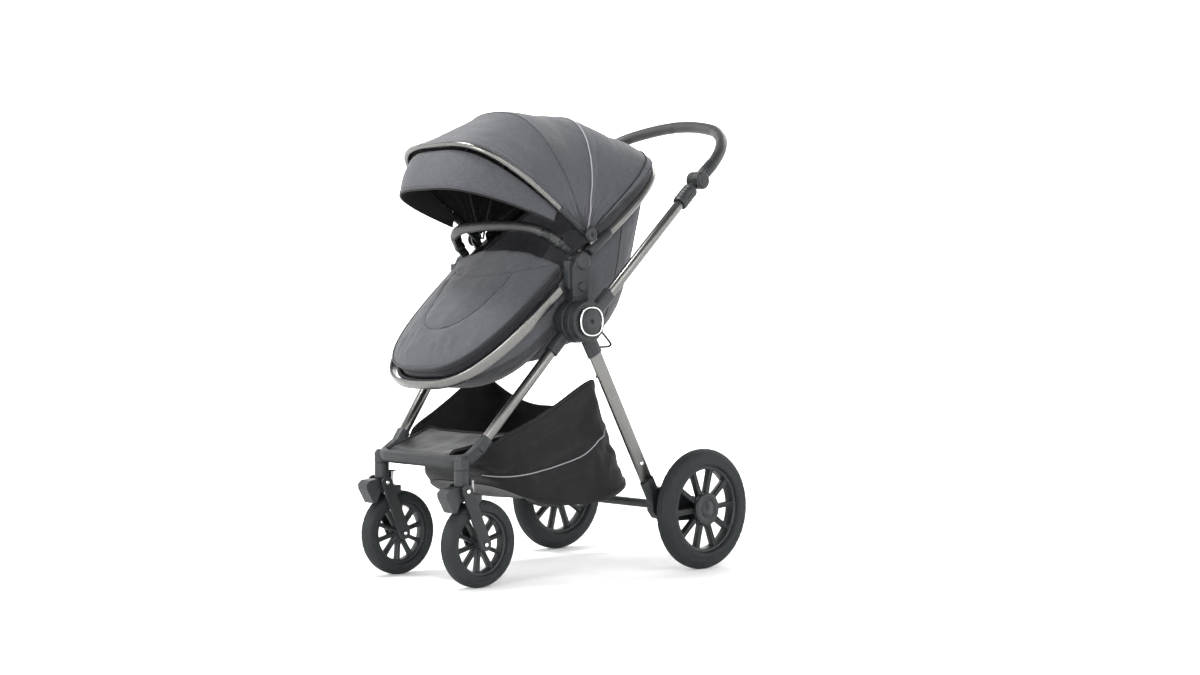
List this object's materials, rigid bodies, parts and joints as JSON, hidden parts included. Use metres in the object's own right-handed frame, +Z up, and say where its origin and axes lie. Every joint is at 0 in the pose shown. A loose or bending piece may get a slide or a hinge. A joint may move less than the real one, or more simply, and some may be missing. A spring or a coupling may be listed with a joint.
{
  "type": "baby stroller",
  "caption": "Folding baby stroller with a reclining seat under a hooded canopy, a leg cover, a bumper bar, a storage basket, swivelling front wheels and larger rear wheels.",
  "frame": {"origin": "on the floor under the middle of the stroller, the centre of its bounding box seen from above", "axes": "+Z up; the front of the stroller faces -Y; +X is the stroller's left-hand side"},
  "size_m": [0.5518, 0.8709, 1.068],
  "materials": {
    "black_plastic": "fine matte moulded texture",
    "hub_cap": "matte cap with a bright ring",
    "gunmetal_tube": "brushed dark grey anodised tube",
    "bow_plastic": "plain strip",
    "spring_steel": "bright wire",
    "tyre": "matt black with fine rings",
    "rim_plastic": "satin moulded plastic",
    "grip_leather": "black stitched covering",
    "grey_fabric": "dark grey woven cloth",
    "dark_fabric": "darker grey woven cloth",
    "basket_fabric": "black woven cloth"
  },
  "bodies": {
    "chassis": {"frame_hub_left": "black_plastic", "frame_hub_right": "black_plastic", "front_leg_left": "gunmetal_tube", "front_leg_right": "gunmetal_tube", "front_crossbar": "black_plastic", "castor_housing_left": "black_plastic", "castor_housing_right": "black_plastic", "storage_basket": "basket_fabric", "basket_panel": "basket_fabric"},
    "castor_left": {"castor_knuckle_left": "black_plastic", "suspension_spring_left": "spring_steel"},
    "fork_left": {"front_fork_left": "black_plastic"},
    "front_wheel_left": {"front_tyre_left": "tyre", "front_rim_left": "rim_plastic"},
    "castor_right": {"castor_knuckle_right": "black_plastic", "suspension_spring_right": "spring_steel"},
    "fork_right": {"front_fork_right": "black_plastic"},
    "front_wheel_right": {"front_tyre_right": "tyre", "front_rim_right": "rim_plastic"},
    "rear_frame": {"rear_leg_joint_left": "black_plastic", "rear_leg_joint_right": "black_plastic", "rear_leg_left": "gunmetal_tube", "rear_leg_right": "gunmetal_tube", "rear_bracket_left": "black_plastic", "rear_bracket_right": "black_plastic", "rear_axle": "gunmetal_tube"},
    "handle": {"handle_joint_left": "black_plastic", "handle_joint_right": "black_plastic", "handle_tube_left": "gunmetal_tube", "handle_tube_right": "gunmetal_tube", "tilt_housing_left": "black_plastic", "tilt_housing_right": "black_plastic", "hub_cap_left": "hub_cap", "hub_cap_right": "hub_cap"},
    "rear_wheel_left": {"rear_tyre_left": "tyre", "rear_rim_left": "rim_plastic"},
    "rear_wheel_right": {"rear_tyre_right": "tyre", "rear_rim_right": "rim_plastic"},
    "brake": {"brake_pedal": "black_plastic"},
    "handlebar": {"handlebar": "grip_leather"},
    "fold_trigger_left": {"fold_trigger_left": "black_plastic"},
    "fold_trigger_right": {"fold_trigger_right": "black_plastic"},
    "tilt_button_left": {"tilt_button_left": "black_plastic"},
    "tilt_button_right": {"tilt_button_right": "black_plastic"},
    "seat": {"seat_adapter_left": "black_plastic", "seat_adapter_right": "black_plastic", "foot_frame": "gunmetal_tube", "leg_tub": "dark_fabric", "boot_cover": "grey_fabric"},
    "adapter_button_left": {"adapter_button_left": "black_plastic"},
    "adapter_button_right": {"adapter_button_right": "black_plastic"},
    "backrest": {"head_frame": "gunmetal_tube", "seat_tub": "grey_fabric", "seat_pad": "grey_fabric", "canopy_cover": "grey_fabric"},
    "canopy_front": {"canopy_front_bow": "gunmetal_tube"},
    "canopy_mid": {"canopy_mid_bow": "bow_plastic"},
    "canopy_rear": {"canopy_rear_bow": "bow_plastic"},
    "visor": {"sun_visor": "dark_fabric"},
    "bumper": {"bumper_bar": "grip_leather"}
  },
  "joints": [
    {"name": "castor_swivel_left", "type": "hinge", "parent": "chassis", "child": "castor_left", "pos_m": [0.1445, -0.3805, 0.24], "axis": [0, 0, 1], "continuous": true},
    {"name": "suspension_left", "type": "hinge", "parent": "castor_left", "child": "fork_left", "pos_m": [0.1445, -0.3855, 0.2146], "axis": [1, 0, 0], "range_deg": [0, 8], "stiffness_Nm_per_rad": 12, "springref_deg": -17.19, "deforming": ["suspension_spring_left"]},
    {"name": "front_wheel_spin_left", "type": "hinge", "parent": "fork_left", "child": "front_wheel_left", "pos_m": [0.1445, -0.3355, 0.096], "axis": [1, 0, 0], "continuous": true},
    {"name": "castor_swivel_right", "type": "hinge", "parent": "chassis", "child": "castor_right", "pos_m": [-0.1445, -0.3805, 0.24], "axis": [0, 0, 1], "continuous": true},
    {"name": "suspension_right", "type": "hinge", "parent": "castor_right", "child": "fork_right", "pos_m": [-0.1445, -0.3855, 0.2146], "axis": [1, 0, 0], "range_deg": [0, 8], "stiffness_Nm_per_rad": 12, "springref_deg": -17.19, "deforming": ["suspension_spring_right"]},
    {"name": "front_wheel_spin_right", "type": "hinge", "parent": "fork_right", "child": "front_wheel_right", "pos_m": [-0.1445, -0.3355, 0.096], "axis": [1, 0, 0], "continuous": true},
    {"name": "handle_fold", "type": "hinge", "parent": "chassis", "child": "handle", "pos_m": [0, -0.1045, 0.578], "axis": [1, 0, 0], "range_deg": [0, 165]},
    {"name": "rear_leg_fold", "type": "hinge", "parent": "chassis", "child": "rear_frame", "pos_m": [0, -0.1045, 0.578], "axis": [1, 0, 0], "range_deg": [-40, 0]},
    {"name": "rear_wheel_spin_left", "type": "hinge", "parent": "rear_frame", "child": "rear_wheel_left", "pos_m": [0.2545, 0.2495, 0.14], "axis": [1, 0, 0], "continuous": true},
    {"name": "rear_wheel_spin_right", "type": "hinge", "parent": "rear_frame", "child": "rear_wheel_right", "pos_m": [-0.2545, 0.2495, 0.14], "axis": [1, 0, 0], "continuous": true},
    {"name": "brake_press", "type": "hinge", "parent": "rear_frame", "child": "brake", "pos_m": [0, 0.1345, 0.155], "axis": [1, 0, 0], "range_deg": [-20, 0]},
    {"name": "handlebar_tilt", "type": "hinge", "parent": "handle", "child": "handlebar", "pos_m": [0, 0.2425, 0.904], "axis": [1, 0, 0], "range_deg": [-30, 45]},
    {"name": "fold_trigger_pull_left", "type": "slide", "parent": "handle", "child": "fold_trigger_left", "axis": [0, 0.7288, 0.6847], "range_m": [0, 0.006], "stiffness_N_per_m": 400, "springref_m": -0.006},
    {"name": "fold_trigger_pull_right", "type": "slide", "parent": "handle", "child": "fold_trigger_right", "axis": [0, 0.7288, 0.6847], "range_m": [0, 0.006], "stiffness_N_per_m": 400, "springref_m": -0.006},
    {"name": "tilt_button_press_left", "type": "slide", "parent": "handlebar", "child": "tilt_button_left", "axis": [-1, 0, 0], "range_m": [0, 0.0025], "stiffness_N_per_m": 500, "springref_m": -0.002},
    {"name": "tilt_button_press_right", "type": "slide", "parent": "handlebar", "child": "tilt_button_right", "axis": [1, 0, 0], "range_m": [0, 0.0025], "stiffness_N_per_m": 500, "springref_m": -0.002},
    {"name": "seat_lift", "type": "slide", "parent": "chassis", "child": "seat", "axis": [0, 0, 1], "range_m": [0, 0.12]},
    {"name": "adapter_button_press_left", "type": "slide", "parent": "seat", "child": "adapter_button_left", "axis": [-1, 0, 0], "range_m": [0, 0.002], "stiffness_N_per_m": 500, "springref_m": -0.002},
    {"name": "adapter_button_press_right", "type": "slide", "parent": "seat", "child": "adapter_button_right", "axis": [1, 0, 0], "range_m": [0, 0.002], "stiffness_N_per_m": 500, "springref_m": -0.002},
    {"name": "backrest_recline", "type": "hinge", "parent": "seat", "child": "backrest", "pos_m": [0, -0.0895, 0.713], "axis": [1, 0, 0], "range_deg": [-14, 18]},
    {"name": "canopy_fold", "type": "hinge", "parent": "backrest", "child": "canopy_front", "pos_m": [0, -0.0595, 0.772], "axis": [1, 0, 0], "range_deg": [-95, 0], "deforming": ["canopy_cover"]},
    {"name": "canopy_mid_fold", "type": "hinge", "parent": "backrest", "child": "canopy_mid", "pos_m": [0, -0.0595, 0.772], "axis": [1, 0, 0], "range_deg": [-65, 0]},
    {"name": "canopy_rear_fold", "type": "hinge", "parent": "backrest", "child": "canopy_rear", "pos_m": [0, -0.0595, 0.772], "axis": [1, 0, 0], "range_deg": [-30, 0]},
    {"name": "visor_turn", "type": "hinge", "parent": "canopy_front", "child": "visor", "pos_m": [0, -0.0595, 0.772], "axis": [1, 0, 0], "range_deg": [-12, 0]},
    {"name": "bumper_pull", "type": "slide", "parent": "seat", "child": "bumper", "axis": [0, -1, 0], "range_m": [0, 0.045]}
  ],
  "couplings": [
    {"joint": "rear_leg_fold", "follows": "handle_fold", "ratio": -0.24},
    {"joint": "canopy_mid_fold", "follows": "canopy_fold", "ratio": 0.65},
    {"joint": "canopy_rear_fold", "follows": "canopy_fold", "ratio": 0.3}
  ]
}
